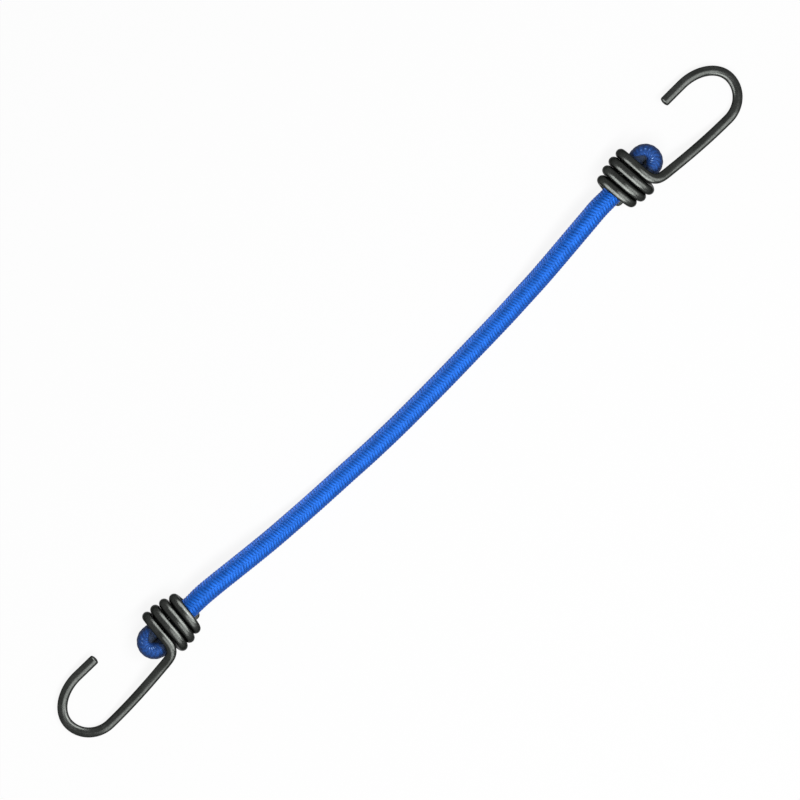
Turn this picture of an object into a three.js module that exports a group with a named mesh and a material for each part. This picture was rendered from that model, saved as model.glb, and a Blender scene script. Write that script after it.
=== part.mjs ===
// Bungee cord: a braided elastic cord with a conically wound wire hook on each folded end.
// Millimetres, +X along the cord, +Z up. The cord lies on the plane Z = 0.
import * as THREE from 'three';

const { cos, sin, tan, atan, PI } = Math;
const { degToRad: radians, lerp } = THREE.MathUtils;

// Driving dimensions, in millimetres and degrees

// Elastic cord: a braided sheath round a bundle of square rubber threads
const cordDiameter = 9.8;
const sheathWall = 0.9;
const softGap = 0.3;
const ringStrands = 6;

// Folded end: the cord is squeezed by the coil and the clip, and turns back on itself
const foldStart = -3;
const foldDiameter = 8.1;
const foldBendRadius = 4.4;
const foldBendPastCoil = 4.6;
const clippedDiameter = 6.6;
const legGap = 0.5;
const tailPastClip = 0.7;
const entryPlaces = [
  { along: 0.55, aside: 0.4, squeeze: 0.5 },
  { along: 0.82, aside: 0.85, squeeze: 1 },
];

// Clip: a C of flat steel strip round both legs of the fold
const clipThickness = 0.8;
const clipLength = 4.5;
const clipBeforeCoilEnd = 2.9;
const clipSlit = 2.4;

// Hook: one wire, wound round the fold and bent into an open hook
const wireDiameter = 4.65;
const turnGap = 0.42;
const coilLean = radians(13);
const coilStart = radians(225);
const coilTurns = 3 + 2 / 3;
const coilSetback = 0;
const coilFlare = 2.5;
const mouthClearance = 0.35;
const foldClearance = 0.4;
const shankStartPastCoil = 11.1;
const shankStartOut = 0.7;
const shankStartHeight = 4.6;
const kneeReach = 8.8;
const shankReach = 9.2;
const shankSlope = { out: 0.1, down: 0.24 };
const hookReach = 83.4;
const hookThroat = 23.4;
const shankBendLength = 15.2;
const tipBendLength = 19.8;
const tipLegLength = 12.6;

// Lay of the cord: both mouths, and a route chosen by hand as x, y and the lift above lying flat
const mouthDistance = 144.3;
const upperMouthY = -2.5;
const lowerMouthY = 0.8;
const lowerYaw = radians(1.1);
const leadLength = 30;
const axisRun = 6;
const routePoints = [
  [-127, -0.6, 13.7], [-115, -1.8, 12.9], [-103, -2.95, 10.6], [-91, -4.0, 7.6],
  [-79, -4.9, 4.6], [-67, -5.7, 2.2], [-55, -6.35, 0.8], [-43, -6.95, 0.15],
  [-28, -7.75, 0], [-10, -8.25, 0], [8, -8.3, 0], [26, -8.15, 0],
  [43, -7.8, 0.15], [55, -7.55, 0.8], [67, -7.2, 2.2], [79, -6.65, 4.6],
  [91, -6.05, 7.6], [103, -5.15, 10.6], [115, -4.15, 12.9], [127, -3.15, 13.7],
];

// Facets
const sheathSides = 12;
const strandSides = 4;
const wireSides = 8;
const wireCorner = 1 / Math.sqrt(cos(PI / wireSides));
const coilStepsPerTurn = 24;
const gapStepsPerTurn = 120;
const kneeSteps = 7;
const shankSteps = 4;
const hookBendSteps = 15;
const foldBendSteps = 10;
const leadSteps = 4;
const middleSteps = 12;
const clipArcSteps = 8;

// Search for the tilt at which a hook lies on the plane
const steepestTilt = radians(45);
const tiltHalvings = 40;

// Sizes that follow from the ones above
const cordRadius = cordDiameter / 2;
const wireRadius = wireDiameter / 2;
const foldRadius = foldDiameter / 2;
const clippedRadius = clippedDiameter / 2;
const legOffset = clippedRadius + legGap / 2;
const coilMouthRadius = cordRadius + mouthClearance + wireRadius;
const coilWideRadius = foldBendRadius + foldRadius + foldClearance + wireRadius;
const coilSlope = tan(coilLean) + wireDiameter / (2 * PI * coilWideRadius);
const coilPitch = (wireDiameter + turnGap) / cos(atan(coilSlope));
const coilLength = coilSetback + coilPitch * coilTurns;
const clipCentre = coilLength - clipBeforeCoilEnd;
const foldBendCentre = coilLength + foldBendPastCoil;
const hookLegOffset = hookThroat / 2 + wireRadius;

const materials = {
  sheath: new THREE.MeshStandardMaterial({ color: 0x1d5bbf, roughness: 0.75, metalness: 0 }),
  rubber: new THREE.MeshStandardMaterial({ color: 0xcdb58a, roughness: 0.8, metalness: 0 }),
  wire: new THREE.MeshStandardMaterial({ color: 0x34352f, roughness: 0.45, metalness: 0.6 }),
  clip: new THREE.MeshStandardMaterial({ color: 0xb4b7b9, roughness: 0.35, metalness: 1 }),
};

// Stations: places on a route, each with its centre, the directions side and up across it, and its radius

function station(centre, tangent, upHint, radius) {
  const side = new THREE.Vector3().crossVectors(upHint, tangent).normalize();
  const up = new THREE.Vector3().crossVectors(tangent, side).normalize();
  return { centre, side, up, radius };
}

function tangentsOf(points) {
  return points.map((point, i) => {
    const before = points[Math.max(i - 1, 0)];
    const after = points[Math.min(i + 1, points.length - 1)];
    return new THREE.Vector3().subVectors(after, before).normalize();
  });
}

function shifted({ centre, side, up }, right, high) {
  return centre.clone().addScaledVector(side, right).addScaledVector(up, high);
}

function ring(place, radius, sides, turn = 0) {
  return Array.from({ length: sides }, (_, k) => {
    const angle = turn + (2 * PI * k) / sides;
    return shifted(place, radius * cos(angle), radius * sin(angle));
  });
}

// Closed surfaces over rows of rings

function surface(rings, faces) {
  const geometry = new THREE.BufferGeometry();
  geometry.setFromPoints(rings.flat());
  geometry.setIndex(faces.flat());
  geometry.computeVertexNormals();
  return geometry;
}

function wallFaces(rowCount, sides, first, inward) {
  const faces = [];
  for (let row = 0; row < rowCount - 1; row += 1) {
    for (let k = 0; k < sides; k += 1) {
      const a = first + row * sides + k;
      const b = first + row * sides + ((k + 1) % sides);
      const quad = inward
        ? [a, a + sides, b, b, a + sides, b + sides]
        : [a, b, a + sides, b, b + sides, a + sides];
      faces.push(quad);
    }
  }
  return faces;
}

function rod(rings) {
  const sides = rings[0].length;
  const last = (rings.length - 1) * sides;
  const faces = wallFaces(rings.length, sides, 0, false);
  for (let k = 1; k < sides - 1; k += 1) {
    faces.push([0, k + 1, k]);
    faces.push([last, last + k, last + k + 1]);
  }
  return surface(rings, faces);
}

function pipe(outerRings, innerRings) {
  const sides = outerRings[0].length;
  const rows = outerRings.length;
  const inner = rows * sides;
  const last = (rows - 1) * sides;
  const faces = [...wallFaces(rows, sides, 0, false), ...wallFaces(rows, sides, inner, true)];
  for (let k = 0; k < sides; k += 1) {
    const next = (k + 1) % sides;
    faces.push([k, inner + k, next, next, inner + k, inner + next]);
    const [a, b] = [last + k, last + next];
    faces.push([a, b, inner + a, b, inner + b, inner + a]);
  }
  return surface([...outerRings, ...innerRings], faces);
}

// Cord stretch: one sheath and its bundle of threads along a row of stations

function strandSizes(outerRadius) {
  const bore = outerRadius - sheathWall;
  const radius = (bore - 2 * softGap) / 3;
  return { bore, radius, offset: 2 * radius + softGap };
}

function sheath(stations) {
  const boreCorner = 1 / cos(PI / sheathSides);
  const outer = stations.map((s) => ring(s, s.radius, sheathSides));
  const inner = stations.map((s) => ring(s, strandSizes(s.radius).bore * boreCorner, sheathSides));
  return pipe(outer, inner);
}

function strand(stations, index) {
  const angle = (2 * PI * index) / ringStrands;
  const rings = stations.map((s) => {
    const { radius, offset } = strandSizes(s.radius);
    const out = index === ringStrands ? 0 : offset;
    const centre = shifted(s, out * cos(angle), out * sin(angle));
    return ring({ ...s, centre }, radius, strandSides, angle + PI / 4);
  });
  return rod(rings);
}

function named(name, geometry, material) {
  const mesh = new THREE.Mesh(geometry, material);
  mesh.name = name;
  return mesh;
}

function cordStretch(name, stations) {
  const meshes = [named(`${name}_sheath`, sheath(stations), materials.sheath)];
  for (let index = 0; index <= ringStrands; index += 1) {
    meshes.push(named(`${name}_strand_${index + 1}`, strand(stations, index), materials.rubber));
  }
  return meshes;
}

// Folded end, in the frame of its coil: x along the axis from the mouth, y across the hook

function foldStations() {
  const clipFirst = clipCentre - clipLength / 2;
  const clipLast = clipCentre + clipLength / 2;
  const widening = (legOffset + foldBendRadius) / 2;
  const places = [
    [foldStart, 0, cordRadius],
    [coilSetback + wireRadius, 0, cordRadius],
    ...entryPlaces.map(({ along, aside, squeeze }) => [
      clipFirst * along,
      -legOffset * aside,
      lerp(cordRadius, clippedRadius, squeeze),
    ]),
    [clipFirst, -legOffset, clippedRadius],
    [clipLast, -legOffset, clippedRadius],
    [(clipLast + foldBendCentre) / 2, -widening, (clippedRadius + foldRadius) / 2],
  ];
  for (let k = 0; k <= foldBendSteps; k += 1) {
    const angle = -PI / 2 + (PI * k) / foldBendSteps;
    const x = foldBendCentre + foldBendRadius * cos(angle);
    places.push([x, foldBendRadius * sin(angle), foldRadius]);
  }
  places.push([(clipLast + foldBendCentre) / 2, widening, (clippedRadius + foldRadius) / 2]);
  places.push([clipLast, legOffset, clippedRadius]);
  places.push([clipFirst - tailPastClip, legOffset, clippedRadius]);
  const points = places.map(([x, y]) => new THREE.Vector3(x, y, 0));
  const tangents = tangentsOf(points);
  const up = new THREE.Vector3(0, 0, 1);
  return points.map((point, i) => station(point, tangents[i], up, places[i][2]));
}

function clipGeometry() {
  const innerRadius = clippedRadius + softGap;
  const outerRadius = innerRadius + clipThickness;
  const half = clipSlit / 2;
  const outline = new THREE.Shape();
  outline.moveTo(half, -outerRadius);
  outline.lineTo(legOffset, -outerRadius);
  outline.absarc(legOffset, 0, outerRadius, -PI / 2, PI / 2, false);
  outline.lineTo(-legOffset, outerRadius);
  outline.absarc(-legOffset, 0, outerRadius, PI / 2, (3 * PI) / 2, false);
  outline.lineTo(-half, -outerRadius);
  outline.lineTo(-half, -innerRadius);
  outline.lineTo(-legOffset, -innerRadius);
  outline.absarc(-legOffset, 0, innerRadius, (3 * PI) / 2, PI / 2, true);
  outline.lineTo(legOffset, innerRadius);
  outline.absarc(legOffset, 0, innerRadius, PI / 2, -PI / 2, true);
  outline.lineTo(half, -innerRadius);
  outline.closePath();
  const geometry = new THREE.ExtrudeGeometry(outline, {
    depth: clipLength,
    bevelEnabled: false,
    curveSegments: clipArcSteps,
  });
  const alongCoil = new THREE.Matrix4().makeBasis(
    new THREE.Vector3(0, 1, 0),
    new THREE.Vector3(0, 0, 1),
    new THREE.Vector3(1, 0, 0),
  );
  geometry.applyMatrix4(alongCoil);
  return geometry.translate(clipCentre - clipLength / 2, 0, 0);
}

// Hook wire, in the same frame: coil, knee, shank, bend and tip leg

function coilPoint(turn) {
  const angle = coilStart + 2 * PI * turn;
  const narrowing = (1 - turn / coilTurns) ** coilFlare;
  const radius = coilWideRadius - (coilWideRadius - coilMouthRadius) * narrowing;
  const z = radius * sin(angle);
  return new THREE.Vector3(coilSetback + coilPitch * turn - tan(coilLean) * z, radius * cos(angle), z);
}

function coilPoints(stepsPerTurn) {
  const steps = Math.round(coilTurns * stepsPerTurn);
  return Array.from({ length: steps + 1 }, (_, i) => coilPoint((coilTurns * i) / steps));
}

function bezierPoints(start, startHandle, endHandle, end, steps) {
  return new THREE.CubicBezierCurve3(start, startHandle, endHandle, end).getPoints(steps).slice(1);
}

function shankPoints(coilEnd, coilTangent) {
  const start = new THREE.Vector3(
    coilLength + shankStartPastCoil,
    -coilWideRadius - shankStartOut,
    shankStartHeight,
  );
  const direction = new THREE.Vector3(1, -shankSlope.out, -shankSlope.down).normalize();
  const end = new THREE.Vector3(hookReach - shankBendLength, -hookLegOffset, 0);
  const third = (end.x - start.x) / 3;
  const kneeOut = coilEnd.clone().addScaledVector(coilTangent, kneeReach);
  const kneeIn = start.clone().addScaledVector(direction, -shankReach);
  const shankOut = start.clone().addScaledVector(direction, third);
  const shankIn = end.clone().setX(end.x - third);
  return [
    ...bezierPoints(coilEnd, kneeOut, kneeIn, start, kneeSteps),
    ...bezierPoints(start, shankOut, shankIn, end, shankSteps),
  ];
}

function bendPoints() {
  return Array.from({ length: hookBendSteps }, (_, i) => {
    const angle = -PI / 2 + (PI * (i + 1)) / hookBendSteps;
    const length = angle < 0 ? shankBendLength : tipBendLength;
    return new THREE.Vector3(hookReach - length * (1 - cos(angle)), hookLegOffset * sin(angle), 0);
  });
}

function wireRoute() {
  const coil = coilPoints(coilStepsPerTurn);
  const coilTangent = tangentsOf(coil).at(-1);
  const shank = shankPoints(coil.at(-1), coilTangent);
  const bend = bendPoints();
  const tip = bend.at(-1).clone().setX(hookReach - tipBendLength - tipLegLength);
  return { coil, bend, all: [...coil, ...shank, ...bend, tip] };
}

// The facets keep one flat towards the inside of the bend, because the section is carried from the tip
function wireGeometry(points) {
  const fromTip = [...points].reverse();
  const tangents = tangentsOf(fromTip);
  let up = new THREE.Vector3(0, 0, 1);
  const stations = fromTip.map((point, i) => {
    const place = station(point, tangents[i], up, wireRadius);
    up = place.up;
    return place;
  });
  return rod(stations.map((s) => ring(s, s.radius * wireCorner, wireSides, PI / wireSides)));
}

// Least air between turns, measured between points on the wire's middle that are half a turn or more apart
function leastTurnGap() {
  const points = coilPoints(gapStepsPerTurn);
  let least = Infinity;
  points.forEach((point, i) => {
    for (let j = i + gapStepsPerTurn / 2; j < points.length; j += 1) {
      least = Math.min(least, point.distanceTo(points[j]) - wireDiameter);
    }
  });
  return least;
}

// The hook lies on its widest turn and on the apex of its bend, so the coil axis tips down outwards

function lowest(points, tilt) {
  return Math.min(...points.map((p) => p.z * cos(tilt) - p.x * sin(tilt)));
}

function restingTilt({ coil, bend }) {
  let low = 0;
  let high = steepestTilt;
  for (let i = 0; i < tiltHalvings; i += 1) {
    const middle = (low + high) / 2;
    if (lowest(coil, middle) < lowest(bend, middle)) low = middle;
    else high = middle;
  }
  return low;
}

// Assembly

const route = wireRoute();
const tilt = restingTilt(route);
const mouthHeight = wireRadius - lowest(route.bend, tilt);
console.log(`hook wire: least gap to itself ${leastTurnGap().toFixed(2)} mm`);

function cordEnd(name, mouthY, yaw) {
  const end = new THREE.Group();
  end.name = `${name}_end`;
  end.position.set(mouthDistance, mouthY, mouthHeight);
  end.rotation.set(0, tilt, yaw, 'ZYX');
  end.add(named(`${name}_hook`, wireGeometry(route.all), materials.wire));
  end.add(named(`${name}_clip`, clipGeometry(), materials.clip));
  end.add(...cordStretch(`${name}_fold`, foldStations()));
  return end;
}

function axisPoint(end, x) {
  return end.localToWorld(new THREE.Vector3(x, 0, 0));
}

function runStretches(lowerEnd, upperEnd) {
  const meets = foldStart - softGap;
  const onRoute = routePoints.map(([x, y, lift]) => new THREE.Vector3(x, y, cordRadius + lift));
  const curve = new THREE.CatmullRomCurve3([
    axisPoint(lowerEnd, meets),
    axisPoint(lowerEnd, meets - axisRun),
    ...onRoute,
    axisPoint(upperEnd, meets - axisRun),
    axisPoint(upperEnd, meets),
  ]);
  const length = curve.getLength();
  const up = new THREE.Vector3(0, 0, 1);
  const stretch = (name, from, to, steps) => {
    const stations = Array.from({ length: steps + 1 }, (_, i) => {
      const along = (from + ((to - from) * i) / steps) / length;
      return station(curve.getPointAt(along), curve.getTangentAt(along), up, cordRadius);
    });
    return cordStretch(name, stations);
  };
  return [
    ...stretch('lower_lead', 0, leadLength, leadSteps),
    ...stretch('middle', leadLength + softGap, length - leadLength - softGap, middleSteps),
    ...stretch('upper_lead', length - leadLength, length, leadSteps),
  ];
}

const bungee = new THREE.Group();
const upperEnd = cordEnd('upper', upperMouthY, 0);
const lowerEnd = cordEnd('lower', lowerMouthY, lowerYaw);
const mirrored = new THREE.Group();
mirrored.scale.x = -1;
mirrored.add(lowerEnd);
bungee.add(upperEnd, mirrored);
bungee.updateMatrixWorld(true);
bungee.add(...runStretches(lowerEnd, upperEnd));

const extent = new THREE.Box3().setFromObject(bungee, true);
const middle = extent.getCenter(new THREE.Vector3());
bungee.position.set(-middle.x, -middle.y, -extent.min.z);

export default bungee;
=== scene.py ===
"""Bungee cord with a wound wire hook on each folded end, dressed in the frame of its solids, in metres."""
import math

import bpy
import numpy as np
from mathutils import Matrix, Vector


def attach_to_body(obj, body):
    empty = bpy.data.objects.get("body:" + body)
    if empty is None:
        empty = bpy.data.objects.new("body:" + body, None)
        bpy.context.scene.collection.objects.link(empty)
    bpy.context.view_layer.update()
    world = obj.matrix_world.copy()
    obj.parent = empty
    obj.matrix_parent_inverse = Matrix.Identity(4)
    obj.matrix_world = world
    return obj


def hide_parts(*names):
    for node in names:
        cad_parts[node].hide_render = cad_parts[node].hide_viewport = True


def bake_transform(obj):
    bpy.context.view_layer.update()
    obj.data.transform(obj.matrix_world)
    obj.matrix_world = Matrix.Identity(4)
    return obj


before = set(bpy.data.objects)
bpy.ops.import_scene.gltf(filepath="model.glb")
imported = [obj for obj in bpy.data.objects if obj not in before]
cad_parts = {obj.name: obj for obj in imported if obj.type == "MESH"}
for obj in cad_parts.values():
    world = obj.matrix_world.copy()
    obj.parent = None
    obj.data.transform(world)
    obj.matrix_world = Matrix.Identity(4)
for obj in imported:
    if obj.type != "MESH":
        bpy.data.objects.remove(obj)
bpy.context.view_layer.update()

# Cord: the sizes of the solids, but a little fuller on the free run and at the bend of each fold
CORD_RADIUS = 0.0049
RUN_RADIUS = 0.005
SHEATH_WALL = 0.0009
SOFT_GAP = 0.0003
RING_STRANDS = 6
THREAD_CORNER_ANGLE = 0.12
FOLD_START = -0.003
FOLD_RADIUS = 0.0044
FOLD_BEND_RADIUS = 0.00405
FOLD_BEND_PAST_COIL = 0.0046
CLIPPED_RADIUS = 0.0033
LEG_PRESS = 0.0003
PRESSED_GAP = 0.00002
PRESSED_SLANT = 0.2
TAIL_PAST_CLIP = 0.0007
CLIP_LENGTH = 0.0045
CLIP_BEFORE_COIL_END = 0.0029
SWELL_BEFORE_BEND = 0.85

# Way into the coil, as shares of the way to the clip, of the step aside and of the squeeze
ENTRY_PLACES = [(0.55, 0.4, 0.5), (0.82, 0.85, 1)]

# Hook wire, a little fuller than the faceted solid
WIRE_RADIUS = 0.0025
SOLID_WIRE_DIAMETER = 0.00465
TURN_GAP = 0.00042
COIL_LEAN = math.radians(13)
COIL_START = math.radians(225)
COIL_TURNS = 3 + 2 / 3
COIL_FLARE = 2.5
MOUTH_CLEARANCE = 0.00035
FOLD_CLEARANCE = 0.0004
SHANK_START_PAST_COIL = 0.0111
SHANK_START_OUT = 0.0007
SHANK_START_HEIGHT = 0.0046
KNEE_REACH = 0.0088
SHANK_REACH = 0.0092
SHANK_SLOPE = (1, -0.1, -0.24)
HOOK_REACH = 0.0834
HOOK_THROAT = 0.0234
SHANK_BEND_LENGTH = 0.0152
TIP_BEND_LENGTH = 0.0198
TIP_LEG_LENGTH = 0.0126
CUT_ROUNDING = 0.0011

# Lay: the tilt at which each hook rests, both mouths, and the route as x, y and the lift above lying flat
HOOK_TILT = math.asin(0.170997)
UPPER_MOUTH = (0.1443086, -0.0022517, 0.0166061)
LOWER_MOUTH = (-0.1442914, 0.0010483, 0.0166061)
LOWER_YAW = math.radians(1.1)
MODEL_SHIFT = (0.0000086, 0.0002483, 0.0000342)
LEAD_LENGTH = 0.0303
LEAD_FROM_MOUTH = 0.00315
AXIS_RUN = 0.0093
ROUTE = [
    (-0.127, -0.0001, 0.0137), (-0.115, -0.00145, 0.0129), (-0.103, -0.0028, 0.0106),
    (-0.091, -0.004, 0.0076), (-0.079, -0.0049, 0.0046), (-0.067, -0.0057, 0.0022),
    (-0.055, -0.00635, 0.0008), (-0.043, -0.00695, 0.00015),
    (-0.028, -0.00775, 0), (-0.01, -0.00825, 0), (0.008, -0.0083, 0), (0.026, -0.00815, 0),
    (0.043, -0.0078, 0.00015), (0.055, -0.00755, 0.0008),
    (0.067, -0.0072, 0.0022), (0.079, -0.00665, 0.0046), (0.091, -0.00605, 0.0076),
    (0.103, -0.00515, 0.0106), (0.115, -0.00415, 0.0129), (0.127, -0.00315, 0.0137),
]

# Weave: a two-over-two braid whose yarns, with the cord relaxed, run well across it
YARNS_EACH_WAY = 8
LAY_LENGTH = 0.0126
WEAVE_DEPTH = 0.0006
WEAVE_RISE = 0.00024
TIGHT_WEAVE = 0.4
CROWN_SHARE = 0.6
WEAVE_SEED = 7

# Loops: painted shade, dark in the coil and in a crease that leans aside and dusky at the rim, and painted
# glints along the bend
COIL_DARKNESS = 0.93
LOOP_DUSK = 0.55
RIM_DUSK = 0.33
RIM_WIDTH = 0.0022
COIL_SHADE_REACH = 0.0026
COIL_SHADE_SLANT = 0.15
CREASE_PAST_BEND = 0.0014
CREASE_ASIDE = 0.0014
CREASE_TIP = 0.0009
CREASE_TAPER = 0.8
CREASE_DIP = 0.18
GLINT_PAST_BEND = 0.0006
GLINT_ASIDE = 0.0016
GLINT_RADIUS = 0.0036
GLINT_HALF_WIDTH = 0.0005
GLINT_CROWN = 0.88
SOFT_EDGE = 0.0006

# Fineness of the meshes
RING_STEP = 0.00025
SIDES = 96
INNER_EVERY = 12
SPAN_STEPS = 24
FOLD_BEND_POINTS = 11
THREAD_STEP = 0.002
WIRE_STEP = 0.0004
WIRE_SIDES = 28
COIL_STEPS = 400
LEG_STEPS = 60
HOOK_BEND_STEPS = 180

# Colours
YARN_BLUE = (0.0135, 0.133, 0.61, 1)
# Painted shade down between the yarns
YARN_GAP_SHADE = (0.0008, 0.011, 0.08, 1)
# Painted shade for the sheath in the coil, in the crease, on the loops and on its inside wall
YARN_IN_SHADE = (0.024, 0.025, 0.022, 1)
# Painted glints along the bends of the loops
YARN_PAINTED_GLINT = (0.24, 0.42, 0.8, 1)
YARN_GLOSS = (0.15, 0.35, 0.9, 1)
YARN_SHEEN = (0.75, 0.85, 1, 1)
RUBBER = (0.42, 0.31, 0.17, 1)
TALC = (0.62, 0.53, 0.4, 1)
COAT_DARK = (0.028, 0.03, 0.028, 1)
COAT_PALE = (0.036, 0.038, 0.036, 1)
COAT_EDGE = (0.4, 0.4, 0.4, 1)
BARE_WIRE = (0.09, 0.093, 0.09, 1)
STRIP_DARK = (0.014, 0.014, 0.014, 1)
STRIP_PALE = (0.03, 0.03, 0.029, 1)
FLOOR_GREY = (0.2, 0.2, 0.2, 1)
WHITE = (1, 1, 1, 1)

# Materials: how far the yarns differ, the filaments' phase across a yarn, and how bare the cut wire is
YARN_VARIETY = 0.07
FILAMENT_PHASE = 44
CUT_BARENESS = 0.15

# Sockets of a mix node that carry its two colours and its result
MIX_FIRST = 6
MIX_SECOND = 7
MIX_RESULT = 2

# View, and lamps: the key lights everything, the others only show as gloss on the cord or on the hooks
VIEW_CENTRE = (0.00055, 0.00008, 0.008)
VIEW_WIDTH = 0.3914
VIEW_HEIGHT = 5.0
VIEW_DEPTH = 50
VIEW_ROLL = math.radians(-45)
SENSOR = 36
SKY_LEVEL = 0.15
KEY_LAMP = {"place": (0, -0.35, 1.3), "target": (0, 0, 0), "size": (1.2, 0.3), "power": 16}
CORD_GLOSS = {"place": (0, -0.75, 1.3), "target": (0, 0, 0), "size": (1.2, 0.6), "power": 75}
CORD_RIM = {"place": (0, 0.05, 0.006), "target": (0, -0.21, 0.97), "size": (0.28, 0.04), "power": 0.2}
RUN_RIM = {"place": (0, 0.03, 0), "target": (0, 0.03, 1), "size": (0.15, 0.04), "power": 0.08}
COIL_GLOSS = {"place": (0.02, -0.02, 0.1), "target": (0.165, 0, 0.015), "size": (0.56, 0.2), "power": 4}
LEG_GLOSS = {"place": (0.24, -0.22, 0.2), "target": (0.2, 0, 0.01), "size": (0.24, 0.44), "power": 2.3}
FLOOR_HEIGHT = -0.0004
FLOOR_REACH = 20
FLOOR_GLOW = 0.9

# Sizes that follow from the ones above
LEG_OFFSET = CLIPPED_RADIUS - LEG_PRESS
COIL_MOUTH_RADIUS = CORD_RADIUS + MOUTH_CLEARANCE + SOLID_WIRE_DIAMETER / 2
COIL_WIDE_RADIUS = FOLD_BEND_RADIUS + FOLD_RADIUS + FOLD_CLEARANCE + SOLID_WIRE_DIAMETER / 2
COIL_SLOPE = math.tan(COIL_LEAN) + SOLID_WIRE_DIAMETER / (2 * math.pi * COIL_WIDE_RADIUS)
COIL_PITCH = (SOLID_WIRE_DIAMETER + TURN_GAP) / math.cos(math.atan(COIL_SLOPE))
COIL_LENGTH = COIL_PITCH * COIL_TURNS
CLIP_CENTRE = COIL_LENGTH - CLIP_BEFORE_COIL_END
CLIP_FIRST = CLIP_CENTRE - CLIP_LENGTH / 2
CLIP_LAST = CLIP_CENTRE + CLIP_LENGTH / 2
FOLD_BEND_CENTRE = COIL_LENGTH + FOLD_BEND_PAST_COIL
HOOK_LEG_OFFSET = HOOK_THROAT / 2 + SOLID_WIRE_DIAMETER / 2
UP = np.array([0.0, 0.0, 1.0])


# Lines in space

def unit(vectors):
    """The vectors at length 1."""
    return vectors / np.linalg.norm(vectors, axis=-1, keepdims=True)


def catmull_rom(points, steps):
    """A centripetal curve through the points; a column past the third rides along."""
    padded = np.vstack([2 * points[0] - points[1], points, 2 * points[-1] - points[-2]])
    t = np.linspace(0, 1, steps, endpoint=False)[:, None]
    rows = []
    for a, b, c, d in zip(padded, padded[1:], padded[2:], padded[3:]):
        before, span, after = [math.sqrt(np.linalg.norm((q - p)[:3])) for p, q in ((a, b), (b, c), (c, d))]
        leave = span * ((b - a) / before - (c - a) / (before + span) + (c - b) / span)
        arrive = span * ((c - b) / span - (d - b) / (span + after) + (d - c) / after)
        near = (2 * t**3 - 3 * t**2 + 1) * b + (t**3 - 2 * t**2 + t) * leave
        far = (3 * t**2 - 2 * t**3) * c + (t**3 - t**2) * arrive
        rows.append(near + far)
    return np.vstack([*rows, points[-1]])


def arc_lengths(line):
    """How far along the line each of its points is."""
    gaps = np.linalg.norm(np.diff(line[:, :3], axis=0), axis=1)
    return np.concatenate([[0], np.cumsum(gaps)])


def evenly(line, step):
    """The line again, with its points about step apart."""
    along = arc_lengths(line)
    at = np.linspace(0, along[-1], round(along[-1] / step) + 1)
    return np.stack([np.interp(at, along, column) for column in line.T], axis=1)


def bezier(start, start_handle, end_handle, end, steps):
    """Points on a cubic curve, without its start."""
    t = np.linspace(0, 1, steps + 1)[1:, None]
    u = 1 - t
    return u**3 * start + 3 * u**2 * t * start_handle + 3 * u * t**2 * end_handle + t**3 * end


def end_frame(mouth, yaw, mirror):
    """The turn and the place that carry a folded end's own frame into the frame of the model."""
    tip = np.array([
        [math.cos(HOOK_TILT), 0, math.sin(HOOK_TILT)],
        [0, 1, 0],
        [-math.sin(HOOK_TILT), 0, math.cos(HOOK_TILT)],
    ])
    swing = np.array([
        [math.cos(yaw), -math.sin(yaw), 0],
        [math.sin(yaw), math.cos(yaw), 0],
        [0, 0, 1],
    ])
    return np.diag([mirror, 1, 1]) @ swing @ tip, np.array(mouth)


def placed(points, end):
    """Points of a folded end's own frame, carried into the frame of the model; a radius rides along."""
    turn, mouth = end
    moved = np.array(points, float)
    moved[:, :3] = moved[:, :3] @ turn.T + mouth
    return moved


ENDS = {
    "lower": end_frame(LOWER_MOUTH, LOWER_YAW, -1),
    "upper": end_frame(UPPER_MOUTH, 0, 1),
}


# Course of the cord: x, y, z and radius

def fold_course():
    """From the mouth in, round the bend and back to the tail, in the frame of a folded end."""
    halfway = (CLIP_LAST + FOLD_BEND_CENTRE) / 2
    widening = LEG_OFFSET + (FOLD_BEND_RADIUS - LEG_OFFSET) * SWELL_BEFORE_BEND
    swelling = CLIPPED_RADIUS + (FOLD_RADIUS - CLIPPED_RADIUS) * SWELL_BEFORE_BEND
    rows = [(FOLD_START, 0, 0, CORD_RADIUS), (SOLID_WIRE_DIAMETER / 2, 0, 0, CORD_RADIUS)]
    for along, aside, squeeze in ENTRY_PLACES:
        radius = CORD_RADIUS + (CLIPPED_RADIUS - CORD_RADIUS) * squeeze
        rows.append((CLIP_FIRST * along, -LEG_OFFSET * aside, 0, radius))
    rows.append((CLIP_FIRST, -LEG_OFFSET, 0, CLIPPED_RADIUS))
    rows.append((CLIP_LAST, -LEG_OFFSET, 0, CLIPPED_RADIUS))
    rows.append((halfway, -widening, 0, swelling))
    for angle in np.linspace(-math.pi / 2, math.pi / 2, FOLD_BEND_POINTS):
        x = FOLD_BEND_CENTRE + FOLD_BEND_RADIUS * math.cos(angle)
        rows.append((x, FOLD_BEND_RADIUS * math.sin(angle), 0, FOLD_RADIUS))
    rows.append((halfway, widening, 0, swelling))
    rows.append((CLIP_LAST, LEG_OFFSET, 0, CLIPPED_RADIUS))
    rows.append((CLIP_FIRST - TAIL_PAST_CLIP, LEG_OFFSET, 0, CLIPPED_RADIUS))
    return np.array(rows)


def axis_point(end, x):
    """The point x past the mouth on the axis of a coil, as one row of a course."""
    return placed([(x, 0, 0, RUN_RADIUS)], ENDS[end])


def cord_course():
    """The whole cord from the lower tail to the upper tail, in even steps."""
    route = [(x, y, RUN_RADIUS + lift, RUN_RADIUS) for x, y, lift in ROUTE]
    route = np.array(route) + [*MODEL_SHIFT, 0]
    fold = fold_course()
    points = np.vstack([
        placed(fold, ENDS["lower"])[::-1],
        axis_point("lower", -AXIS_RUN),
        route,
        axis_point("upper", -AXIS_RUN),
        placed(fold, ENDS["upper"]),
    ])
    return evenly(catmull_rom(points, SPAN_STEPS), RING_STEP)


def nearest_row(line, point):
    """The number of the row of a line that is nearest to a point."""
    return int(np.linalg.norm(line[:, :3] - point[0, :3], axis=1).argmin())


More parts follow.
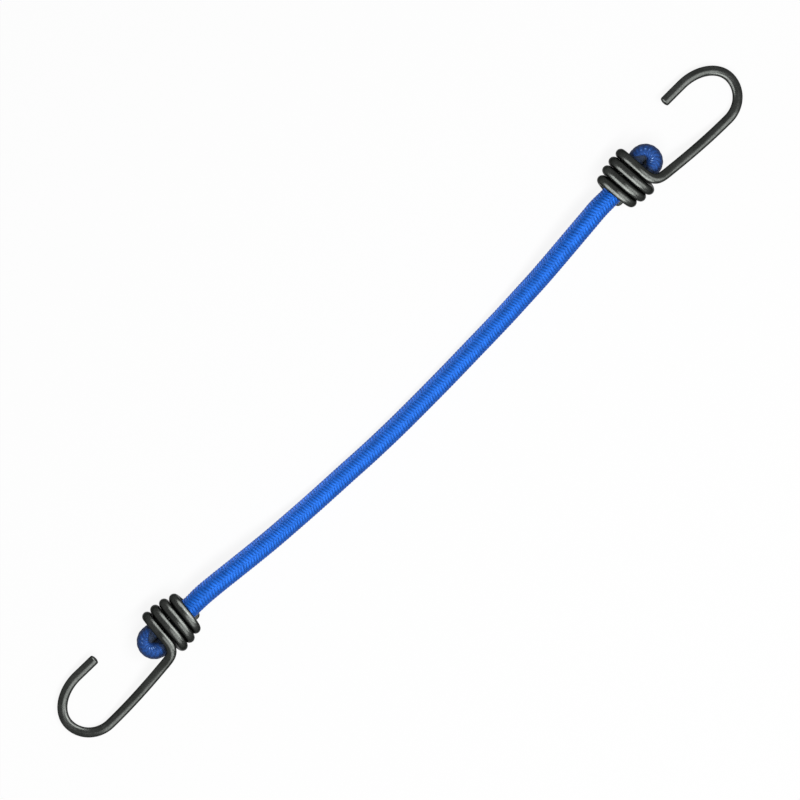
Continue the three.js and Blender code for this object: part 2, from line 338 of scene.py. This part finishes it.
def cord_cuts(course):
    """The rows at which the stretches of the cord meet: fold, lead, middle, lead, fold."""
    lead_rows = round(LEAD_LENGTH / RING_STEP)
    lower = nearest_row(course, axis_point("lower", -LEAD_FROM_MOUTH))
    upper = nearest_row(course, axis_point("upper", -LEAD_FROM_MOUTH))
    return [0, lower, lower + lead_rows, upper - lead_rows, upper, len(course) - 1]


def cross_frames(line):
    """The directions side and up across a line at each of its points."""
    tangents = unit(np.gradient(line[:, :3], axis=0))
    side = unit(np.cross(UP, tangents))
    return side, np.cross(tangents, side)


# Meshes

def add_object(name, points, smooth_faces, flat_faces, material):
    """A mesh in the scene, with its smooth faces first."""
    mesh = bpy.data.meshes.new(name)
    mesh.from_pydata(points.tolist(), [], [*smooth_faces, *flat_faces])
    smooth = np.arange(len(mesh.polygons)) < len(smooth_faces)
    mesh.polygons.foreach_set("use_smooth", smooth)
    mesh.materials.append(material)
    mesh.validate()
    piece = bpy.data.objects.new(name, mesh)
    bpy.context.scene.collection.objects.link(piece)
    return piece


def add_values(piece, name, values):
    """Keeps a number or a vector for each point, for the materials."""
    kind, field = ("FLOAT", "value") if values.ndim == 1 else ("FLOAT_VECTOR", "vector")
    layer = piece.data.attributes.new(name, kind, "POINT")
    layer.data.foreach_set(field, values.astype(np.float32).ravel())


def wall_faces(rows, sides, first, inward):
    """The faces between rings of points that are numbered from first, facing out or inward."""
    row, k = np.meshgrid(np.arange(rows - 1), np.arange(sides), indexing="ij")
    a = first + row * sides + k
    b = first + row * sides + (k + 1) % sides
    quad = (a, a + sides, b + sides, b) if inward else (a, b, b + sides, a + sides)
    return np.stack(quad, axis=-1).reshape(-1, 4).tolist()


def rings(line, frames, radii, angles):
    """Points round a line, row by row; radii has one value for each row and angle."""
    side, up = frames
    out = side[:, None] * np.cos(angles)[:, None] + up[:, None] * np.sin(angles)[:, None]
    return line[:, None, :3] + out * radii[..., None]


def yarn_height(off, wave):
    """Height of a yarn from 0 to 1: round across it, and raised where it passes over another."""
    return CROWN_SHARE * np.sqrt(1 - 4 * off**2) + (1 - CROWN_SHARE) * (1 + wave) / 2


def weave(along, around):
    """Height of the braid from 0 to 1, the offset across the top yarn, and its number."""
    left = YARNS_EACH_WAY * (around / (2 * math.pi) + along / LAY_LENGTH)
    right = YARNS_EACH_WAY * (around / (2 * math.pi) - along / LAY_LENGTH)
    left_yarn, right_yarn = np.floor(left), np.floor(right)
    left_off, right_off = left - left_yarn - 0.5, right - right_yarn - 0.5
    left_wave = np.cos(math.pi / 2 * (left_yarn + right - 1))
    right_wave = -np.cos(math.pi / 2 * (left + right_yarn - 1))
    left_height, right_height = yarn_height(left_off, left_wave), yarn_height(right_off, right_wave)
    on_left = left_height > right_height
    number = np.where(on_left, left_yarn % YARNS_EACH_WAY, YARNS_EACH_WAY + right_yarn % YARNS_EACH_WAY)
    return np.maximum(left_height, right_height), np.where(on_left, left_off, right_off), number.astype(int)


def smoothstep(value, low, high):
    """From 0 at low to 1 at high, without a kink."""
    t = np.clip((value - low) / (high - low), 0, 1)
    return t * t * (3 - 2 * t)


def soft_step(value):
    """From 0 below zero to 1 above it, across a soft edge."""
    return smoothstep(value, -SOFT_EDGE, SOFT_EDGE)


def crease(x, y):
    """1 in the crease that runs from the coil to the middle of a loop, 0 beside it."""
    before_tip = FOLD_BEND_CENTRE + CREASE_PAST_BEND - x
    half_width = CREASE_TIP + CREASE_TAPER * np.maximum(before_tip, 0)
    from_clip = soft_step(x - CLIP_CENTRE)
    return from_clip * soft_step(before_tip) * soft_step(half_width - np.abs(y - CREASE_ASIDE))


def fold_shade(points):
    """How dark the painted shade on the sheath is: dark in the coil and in the crease of the loop, dusky on
    the loop.
    """
    shade = np.zeros(len(points))
    for turn, mouth in ENDS.values():
        x, y, _ = ((points - mouth) @ turn).T
        inside = smoothstep(x, 0, SOLID_WIRE_DIAMETER / 2)
        loop = soft_step(x + COIL_SHADE_SLANT * y - COIL_LENGTH - COIL_SHADE_REACH)
        rim = smoothstep(np.hypot(x - FOLD_BEND_CENTRE, y) - FOLD_BEND_RADIUS - FOLD_RADIUS, -RIM_WIDTH, 0)
        on_loop = np.maximum(LOOP_DUSK + RIM_DUSK * rim, crease(x, y))
        shade = np.maximum(shade, inside * (COIL_DARKNESS + (on_loop - COIL_DARKNESS) * loop))
    return shade


def painted_loop_glints(points):
    """1 for painted glints along the bend of each loop on its upper side, 0 elsewhere."""
    glint_mask = np.zeros(len(points))
    for turn, mouth in ENDS.values():
        x, y, z = ((points - mouth) @ turn).T
        past_bend = x - FOLD_BEND_CENTRE
        off_line = np.abs(np.hypot(past_bend - GLINT_PAST_BEND, y - GLINT_ASIDE) - GLINT_RADIUS)
        glint_mask = np.maximum(glint_mask, (z > 0) * soft_step(past_bend) * (off_line < GLINT_HALF_WIDTH))
    return glint_mask


def pressed(points, line):
    """The two sides of each loop lie flat against each other instead of crossing, and dip at the crease."""
    for turn, mouth in ENDS.values():
        own = (points - mouth) @ turn
        row = (line[:, :3] - mouth) @ turn
        past_bend = np.maximum(row[:, 0] - FOLD_BEND_CENTRE, 0)
        away = unit(np.stack([past_bend, row[:, 1], np.zeros(len(row))], axis=1))[:, None]
        reach = ((own - [FOLD_BEND_CENTRE, 0, 0]) * away).sum(axis=2)
        reach = reach - PRESSED_SLANT * away[..., 1] * own[..., 2]
        held = row[:, :1] > CLIP_FIRST - TAIL_PAST_CLIP
        short = np.where(held, np.maximum(PRESSED_GAP - reach, 0), 0)
        own = own + short[..., None] * away
        own[..., 2] *= 1 - CREASE_DIP * crease(own[..., 0], own[..., 1])
        points = own @ turn.T + mouth
    return points


def sheath_faces(rows, inner_rows):
    """The walls of a sheath, outside and then inside, and the faces that join them at its two ends."""
    first_inner = rows * SIDES
    last_inner = first_inner + (inner_rows - 1) * SIDES
    walls = wall_faces(rows, SIDES, 0, False) + wall_faces(inner_rows, SIDES, first_inner, True)
    ends = []
    for k in range(SIDES):
        after = (k + 1) % SIDES
        ends.append((k, first_inner + k, first_inner + after, after))
        a, b = first_inner - SIDES + k, first_inner - SIDES + after
        ends.append((a, b, last_inner + after, last_inner + k))
    return walls, ends


def add_sheath(name, course, frames, first, last, material):
    """One stretch of the sheath: the woven outside, a plain inside and a ring at each end."""
    rows = np.arange(first, last + 1)
    line, frames = course[rows], [f[rows] for f in frames]
    angles = np.linspace(0, 2 * math.pi, SIDES, endpoint=False)
    along, around = np.meshgrid(rows * RING_STEP, angles, indexing="ij")
    height, across, number = weave(along, around)
    tightness = smoothstep(CORD_RADIUS - line[:, 3:], 0, CORD_RADIUS - FOLD_RADIUS)
    depth = WEAVE_DEPTH * (1 - TIGHT_WEAVE * tightness)
    outer = rings(line, frames, line[:, 3:] + WEAVE_RISE - depth * (1 - height), angles)
    outer = pressed(outer, line).reshape(-1, 3)
    kept = np.unique(np.append(np.arange(0, len(rows), INNER_EVERY), len(rows) - 1))
    bore = np.repeat(line[kept, 3:] - SHEATH_WALL, SIDES, axis=1)
    inner = rings(line[kept], [f[kept] for f in frames], bore, angles).reshape(-1, 3)
    walls, ends = sheath_faces(len(rows), len(kept))
    piece = add_object(name, np.vstack([outer, inner]), walls, ends, material)
    tints = np.random.default_rng(WEAVE_SEED).uniform(-1, 1, 2 * YARNS_EACH_WAY)
    # Painted glints on the crowns of the yarns along each loop's bend
    painted_glint = painted_loop_glints(outer) * smoothstep(height.ravel(), GLINT_CROWN, 1)
    straight = np.stack([CORD_RADIUS * np.cos(around), CORD_RADIUS * np.sin(around), along], axis=-1)
    inside = np.zeros(len(inner))
    # Painted shade: the inside wall is in full shade and at full weave depth
    add_values(piece, "shade", np.append(fold_shade(outer), inside + 1))
    add_values(piece, "painted_glint", np.append(painted_glint, inside))
    add_values(piece, "crevice", np.append(1 - height.ravel(), inside + 1))
    add_values(piece, "across", np.append(across.ravel(), inside))
    add_values(piece, "tint", np.append(tints[number].ravel(), inside))
    add_values(piece, "straight", np.vstack([straight.reshape(-1, 3), np.zeros_like(inner)]))
    return piece


def add_threads(name, course, frames, first, last, material):
    """The bundle of square rubber threads with blunt corners inside one stretch."""
    rows = np.unique(np.append(np.arange(first, last, round(THREAD_STEP / RING_STEP)), last))
    line, (side, up) = course[rows], [f[rows] for f in frames]
    bore = line[:, 3] - SHEATH_WALL
    radius = (bore - 2 * SOFT_GAP) / 3
    reach = 2 * radius + SOFT_GAP
    quarters = np.arange(4) * math.pi / 2
    blunt = [-THREAD_CORNER_ANGLE, THREAD_CORNER_ANGLE]
    points, faces = [], []
    for index in range(RING_STRANDS + 1):
        angle = 2 * math.pi * index / RING_STRANDS
        out = reach * (index < RING_STRANDS)
        centre = line[:, :3] + (out * math.cos(angle))[:, None] * side
        centre = centre + (out * math.sin(angle))[:, None] * up
        corners = angle + math.pi / 4 + np.add.outer(quarters, blunt).ravel()
        wall = rings(centre, (side, up), np.repeat(radius[:, None], len(corners), axis=1), corners)
        steps, sides = wall.shape[:2]
        start = len(points) * steps * sides
        stop = start + (steps - 1) * sides
        faces += wall_faces(steps, sides, start, False)
        faces.append([start + k for k in reversed(range(sides))])
        faces.append([stop + k for k in range(sides)])
        points.append(wall.reshape(-1, 3))
    return add_object(name, np.vstack(points), [], faces, material)


def strand_nodes(stretch):
    """The names of the solids that the threads of a stretch stand for."""
    return [f"{stretch}_strand_{i + 1}" for i in range(RING_STRANDS + 1)]


# Hook wire

def coil_points():
    """The wire's line through the coil, which leans, and widens away from the mouth."""
    turn = np.linspace(0, COIL_TURNS, COIL_STEPS)
    angle = COIL_START + 2 * math.pi * turn
    narrowing = (1 - turn / COIL_TURNS) ** COIL_FLARE
    radius = COIL_WIDE_RADIUS - (COIL_WIDE_RADIUS - COIL_MOUTH_RADIUS) * narrowing
    z = radius * np.sin(angle)
    return np.stack([COIL_PITCH * turn - math.tan(COIL_LEAN) * z, radius * np.cos(angle), z], axis=1)


def wire_course():
    """From the coil's start at the mouth to the tip, in the frame of a folded end."""
    coil = coil_points()
    start = np.array([
        COIL_LENGTH + SHANK_START_PAST_COIL,
        -COIL_WIDE_RADIUS - SHANK_START_OUT,
        SHANK_START_HEIGHT,
    ])
    direction = unit(np.array(SHANK_SLOPE, float))
    end = np.array([HOOK_REACH - SHANK_BEND_LENGTH, -HOOK_LEG_OFFSET, 0])
    third = (end[0] - start[0]) / 3
    knee_out = coil[-1] + KNEE_REACH * unit(coil[-1] - coil[-2])
    knee = bezier(coil[-1], knee_out, start - SHANK_REACH * direction, start, LEG_STEPS)
    shank = bezier(start, start + third * direction, end - [third, 0, 0], end, LEG_STEPS)
    angle = np.linspace(-math.pi / 2, math.pi / 2, HOOK_BEND_STEPS)[1:]
    length = np.where(angle < 0, SHANK_BEND_LENGTH, TIP_BEND_LENGTH)
    x = HOOK_REACH - length * (1 - np.cos(angle))
    bend = np.stack([x, HOOK_LEG_OFFSET * np.sin(angle), np.zeros(len(angle))], axis=1)
    tip = bend[-1] - [TIP_LEG_LENGTH, 0, 0]
    return evenly(np.vstack([coil, knee, shank, bend, tip]), WIRE_STEP)


def carried_frames(line, up):
    """Side and up along a line, carried from its end without twist."""
    tangents = unit(np.gradient(line, axis=0))
    sides, ups = np.zeros_like(line), np.zeros_like(line)
    for i in reversed(range(len(line))):
        sides[i] = unit(np.cross(up, tangents[i]))
        ups[i] = np.cross(tangents[i], sides[i])
        up = ups[i]
    return sides, ups


def add_wire(name, end, material):
    """The wire of one hook, rounded at both cuts, in place of its solid."""
    line = placed(wire_course(), ENDS[end])
    frames = carried_frames(line, ENDS[end][0] @ UP)
    angles = np.linspace(0, 2 * math.pi, WIRE_SIDES, endpoint=False)
    steps = np.arange(len(line))
    from_cut = np.minimum(steps, steps[::-1]) * WIRE_STEP
    inset = CUT_ROUNDING * (1 - np.sqrt(1 - np.clip(1 - from_cut / CUT_ROUNDING, 0, 1) ** 2))
    radii = np.repeat(WIRE_RADIUS - inset[:, None], WIRE_SIDES, axis=1)
    wall = rings(line, frames, radii, angles)
    points = np.vstack([wall.reshape(-1, 3), line[[0, -1]]])
    last = (len(line) - 1) * WIRE_SIDES
    end_faces = []
    for k in range(WIRE_SIDES):
        after = (k + 1) % WIRE_SIDES
        end_faces.append((len(points) - 2, after, k))
        end_faces.append((len(points) - 1, last + k, last + after))
    piece = add_object(name, points, wall_faces(len(line), WIRE_SIDES, 0, False), end_faces, material)
    cut = np.zeros((len(line), WIRE_SIDES))
    cut[[0, -1]] = 1
    along, around = np.meshgrid(steps * WIRE_STEP, angles, indexing="ij")
    straight = np.stack([WIRE_RADIUS * np.cos(around), WIRE_RADIUS * np.sin(around), along], axis=-1)
    add_values(piece, "cut", np.append(cut.ravel(), [1, 1]))
    add_values(piece, "straight", np.vstack([straight.reshape(-1, 3), np.zeros((2, 3))]))
    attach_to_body(piece, f"{end}_hook_wire")
    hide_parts(f"{end}_hook")
    return piece


# Materials

def new_material(name):
    """A material, its node tree and its shader."""
    material = bpy.data.materials.new(name)
    material.use_nodes = True
    return material, material.node_tree, material.node_tree.nodes["Principled BSDF"]


def set_inputs(tree, node, inputs):
    """Links each input to a socket, or sets a constant on it."""
    for key, value in inputs.items():
        if isinstance(value, bpy.types.NodeSocket):
            tree.links.new(value, node.inputs[key])
        else:
            node.inputs[key].default_value = value


def add_node(tree, kind, inputs=None, **settings):
    node = tree.nodes.new(kind)
    for key, value in settings.items():
        setattr(node, key, value)
    set_inputs(tree, node, inputs or {})
    return node


def kept_value(tree, name):
    return add_node(tree, "ShaderNodeAttribute", attribute_name=name).outputs["Fac"]


def kept_vector(tree, name):
    return add_node(tree, "ShaderNodeAttribute", attribute_name=name).outputs["Vector"]


def own_place(tree):
    return add_node(tree, "ShaderNodeTexCoord").outputs["Object"]


def stretched(tree, vector, scale):
    return add_node(tree, "ShaderNodeMapping", {"Vector": vector, "Scale": scale}).outputs["Vector"]


def noise(tree, vector, scale, detail=3.0):
    inputs = {"Vector": vector, "Scale": scale, "Detail": detail}
    return add_node(tree, "ShaderNodeTexNoise", inputs).outputs["Fac"]


def spread(tree, value, seen, wanted):
    """Carries a value from the range seen to the range wanted, and holds it within that."""
    inputs = {
        "Value": value,
        "From Min": seen[0],
        "From Max": seen[1],
        "To Min": wanted[0],
        "To Max": wanted[1],
    }
    return add_node(tree, "ShaderNodeMapRange", inputs).outputs["Result"]


def math_node(tree, operation, *values):
    return add_node(tree, "ShaderNodeMath", dict(enumerate(values)), operation=operation).outputs["Value"]


def mixed(tree, factor, first, second):
    """The first colour where the factor is 0, the second where it is 1."""
    inputs = {"Factor": factor, MIX_FIRST: first, MIX_SECOND: second}
    return add_node(tree, "ShaderNodeMix", inputs, data_type="RGBA").outputs[MIX_RESULT]


def brightened(tree, colour, value):
    return add_node(tree, "ShaderNodeHueSaturation", {"Color": colour, "Value": value}).outputs["Color"]


def bumped(tree, height, distance, strength):
    inputs = {"Height": height, "Distance": distance, "Strength": strength}
    return add_node(tree, "ShaderNodeBump", inputs).outputs["Normal"]


def braid_material():
    """Blue yarns of fine filaments: painted shade between the yarns, in the coil and on the loops, painted
    glints along the loops, each yarn a little different.
    """
    material, tree, shader = new_material("braided_sheath")
    # Painted shade: the deeper a point lies in the weave, the nearer it is to the gap colour
    depth = spread(tree, kept_value(tree, "crevice"), (0.02, 0.62), (0, 1))
    colour = mixed(tree, depth, YARN_BLUE, YARN_GAP_SHADE)
    # Painted shade in the coil and on the loops
    colour = mixed(tree, kept_value(tree, "shade"), colour, YARN_IN_SHADE)
    # Painted glints along the loops
    colour = mixed(tree, kept_value(tree, "painted_glint"), colour, YARN_PAINTED_GLINT)
    straight = kept_vector(tree, "straight")
    patches = noise(tree, straight, scale=900)
    clouds = noise(tree, straight, scale=240)
    yarn = math_node(tree, "MULTIPLY_ADD", kept_value(tree, "tint"), YARN_VARIETY, 1)
    value = math_node(tree, "MULTIPLY", yarn, spread(tree, patches, (0.3, 0.7), (0.9, 1.1)))
    value = math_node(tree, "MULTIPLY", value, spread(tree, clouds, (0.3, 0.7), (0.88, 1.12)))
    phase = math_node(tree, "MULTIPLY", kept_value(tree, "across"), FILAMENT_PHASE)
    filaments = math_node(tree, "SINE", phase)
    set_inputs(tree, shader, {
        "Base Color": brightened(tree, colour, value),
        "Roughness": spread(tree, patches, (0.3, 0.7), (0.5, 0.62)),
        "Normal": bumped(tree, filaments, distance=0.00003, strength=0.5),
        "Metallic": 0.2,
        "Specular IOR Level": 0.4,
        "Specular Tint": YARN_GLOSS,
        "Sheen Weight": 0.02,
        "Sheen Roughness": 0.3,
        "Sheen Tint": YARN_SHEEN,
    })
    return material


def rubber_material():
    """Natural rubber with a dusting of talc."""
    material, tree, shader = new_material("rubber_core")
    place = own_place(tree)
    dust = noise(tree, place, scale=700)
    grain = noise(tree, place, scale=2500)
    set_inputs(tree, shader, {
        "Base Color": mixed(tree, spread(tree, dust, (0.4, 0.65), (0, 1)), RUBBER, TALC),
        "Roughness": spread(tree, dust, (0.3, 0.7), (0.6, 0.9)),
        "Normal": bumped(tree, grain, distance=0.00004, strength=0.4),
    })
    return material


def wire_material():
    """Satin black coat on drawn wire, with faint drawing lines, small rubs and bare cut ends."""
    material, tree, shader = new_material("hook_wire")
    straight = kept_vector(tree, "straight")
    lines = noise(tree, stretched(tree, straight, (1, 1, 0.03)), scale=4500)
    clouds = noise(tree, straight, scale=160, detail=4)
    scuffs = noise(tree, stretched(tree, straight, (1, 1, 0.25)), scale=420, detail=5)
    rubs = spread(tree, scuffs, (0.66, 0.74), (0, 0.7))
    cut = math_node(tree, "MULTIPLY", kept_value(tree, "cut"), CUT_BARENESS)
    bare = math_node(tree, "MAXIMUM", cut, rubs)
    coat = mixed(tree, spread(tree, clouds, (0.35, 0.65), (0, 1)), COAT_DARK, COAT_PALE)
    grain = spread(tree, noise(tree, straight, scale=2000), (0.35, 0.65), (0.72, 1.25))
    set_inputs(tree, shader, {
        "Base Color": brightened(tree, mixed(tree, bare, coat, BARE_WIRE), grain),
        "Roughness": spread(tree, clouds, (0.3, 0.7), (0.25, 0.34)),
        "Normal": bumped(tree, lines, distance=0.00003, strength=0.35),
        "Metallic": 1,
        "Specular Tint": COAT_EDGE,
    })
    return material


def clip_material():
    """Blackened steel strip, brushed along its length."""
    material, tree, shader = new_material("clip_steel")
    brushed = noise(tree, stretched(tree, own_place(tree), (0.08, 1, 1)), scale=2500)
    set_inputs(tree, shader, {
        "Base Color": mixed(tree, spread(tree, brushed, (0.35, 0.65), (0, 1)), STRIP_DARK, STRIP_PALE),
        "Roughness": spread(tree, brushed, (0.3, 0.7), (0.5, 0.65)),
        "Normal": bumped(tree, brushed, distance=0.00002, strength=0.4),
        "Metallic": 0.4,
        "Specular IOR Level": 0.2,
    })
    return material


# Camera, light and floor

def add_camera():
    """Straight down on the middle of the cord, from high up."""
    data = bpy.data.cameras.new("camera")
    data.sensor_width = SENSOR
    data.lens = SENSOR * VIEW_HEIGHT / VIEW_WIDTH
    data.clip_end = VIEW_DEPTH
    camera = bpy.data.objects.new("camera", data)
    camera.location = np.add(VIEW_CENTRE, (0, 0, VIEW_HEIGHT))
    camera.rotation_euler = (0, 0, VIEW_ROLL)
    bpy.context.scene.collection.objects.link(camera)
    bpy.context.scene.camera = camera


def add_lamp(name, place, target, size, power, shown_on=None):
    """A soft lamp: one that lights everything, or one that only shows as gloss on some pieces."""
    data = bpy.data.lights.new(name, "AREA")
    data.shape = "RECTANGLE"
    data.size, data.size_y = size
    data.energy = power
    lamp = bpy.data.objects.new(name, data)
    lamp.location = place
    lamp.rotation_euler = (Vector(place) - Vector(target)).to_track_quat("Z", "Y").to_euler()
    lamp.visible_camera = False
    lamp.visible_diffuse = shown_on is None
    lamp.visible_glossy = shown_on is not None
    lamp.light_linking.receiver_collection = shown_on
    bpy.context.scene.collection.objects.link(lamp)


def mirrored(lamp):
    """The same lamp for the other end of the cord."""
    flip = Vector((-1, 1, 1))
    return {**lamp, "place": Vector(lamp["place"]) * flip, "target": Vector(lamp["target"]) * flip}


def gathered(name, pieces):
    """A collection of the pieces on which a lamp shows."""
    collection = bpy.data.collections.new(name)
    for piece in pieces:
        collection.objects.link(piece)
    return collection


def seen_directly(tree):
    """1 for what the camera, a reflection or a clear body shows, 0 for light that falls on something."""
    path = add_node(tree, "ShaderNodeLightPath").outputs
    reflected = math_node(tree, "MAXIMUM", path["Is Glossy Ray"], path["Is Transmission Ray"])
    return math_node(tree, "MAXIMUM", path["Is Camera Ray"], reflected)


def add_floor():
    """A floor that looks white but throws little light back."""
    material, tree, shader = new_material("floor")
    seen = seen_directly(tree)
    set_inputs(tree, shader, {
        "Base Color": mixed(tree, seen, FLOOR_GREY, WHITE),
        "Roughness": 0.9,
        "Specular IOR Level": 0,
    })
    glow = add_node(tree, "ShaderNodeEmission", {"Strength": 1.0}).outputs["Emission"]
    share = math_node(tree, "MULTIPLY", seen, FLOOR_GLOW)
    both = add_node(tree, "ShaderNodeMixShader", {0: share, 1: shader.outputs["BSDF"], 2: glow})
    tree.links.new(both.outputs["Shader"], tree.nodes["Material Output"].inputs["Surface"])
    corners = [(-1, -1), (1, -1), (1, 1), (-1, 1)]
    points = np.array([(FLOOR_REACH * x, FLOOR_REACH * y, FLOOR_HEIGHT) for x, y in corners])
    add_object("floor", points, [(0, 1, 2, 3)], [], material)


def add_light(cord, wires):
    """A white sky, the key lamp, and the lamps that show as gloss on the cord and on the hooks."""
    world = bpy.data.worlds.new("world")
    world.use_nodes = True
    bpy.context.scene.world = world
    tree = world.node_tree
    level = math_node(tree, "MAXIMUM", seen_directly(tree), SKY_LEVEL)
    set_inputs(tree, tree.nodes["Background"], {"Strength": level, "Color": WHITE})
    add_lamp("key", **KEY_LAMP)
    braids, hooks = gathered("cord", cord), gathered("wires", wires)
    for name, lamp in (("cord_gloss", CORD_GLOSS), ("cord_rim", CORD_RIM), ("run_rim", RUN_RIM)):
        add_lamp(name, **lamp, shown_on=braids)
    for name, lamp in (("coil_gloss", COIL_GLOSS), ("leg_gloss", LEG_GLOSS)):
        add_lamp(f"upper_{name}", **lamp, shown_on=hooks)
        add_lamp(f"lower_{name}", **mirrored(lamp), shown_on=hooks)
    bpy.context.scene.view_settings.view_transform = "Standard"


# Assembly

add_camera()
sheath_look, rubber_look = braid_material(), rubber_material()
course = cord_course()
frames = cross_frames(course)
cuts = cord_cuts(course)
cord = []


def add_stretch(index, name, attach):
    """The sheath and the threads of one stretch, each handed to attach, which ties it to the body it
    follows or bakes it in place.
    """
    sheath = add_sheath(f"{name}_braid", course, frames, cuts[index], cuts[index + 1], sheath_look)
    threads = add_threads(f"{name}_threads", course, frames, cuts[index], cuts[index + 1], rubber_look)
    for piece in (sheath, threads):
        attach(piece)
    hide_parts(f"{name}_sheath")
    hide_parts(*strand_nodes(name))
    cord.append(sheath)
    return sheath


middle = add_stretch(2, "middle", lambda piece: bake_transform(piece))
lower_lead = add_stretch(1, "lower_lead", lambda piece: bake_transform(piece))
upper_lead = add_stretch(3, "upper_lead", lambda piece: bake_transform(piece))
add_stretch(0, "lower_fold", lambda piece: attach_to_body(piece, "lower_cord_end"))
add_stretch(4, "upper_fold", lambda piece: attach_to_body(piece, "upper_cord_end"))

wire_look, clip_look = wire_material(), clip_material()
wires = []
for end in ENDS:
    wires.append(add_wire(f"{end}_hook_wire", end, wire_look))
    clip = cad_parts[f"{end}_clip"]
    clip.data.materials.clear()
    clip.data.materials.append(clip_look)
add_floor()
add_light(cord, wires)
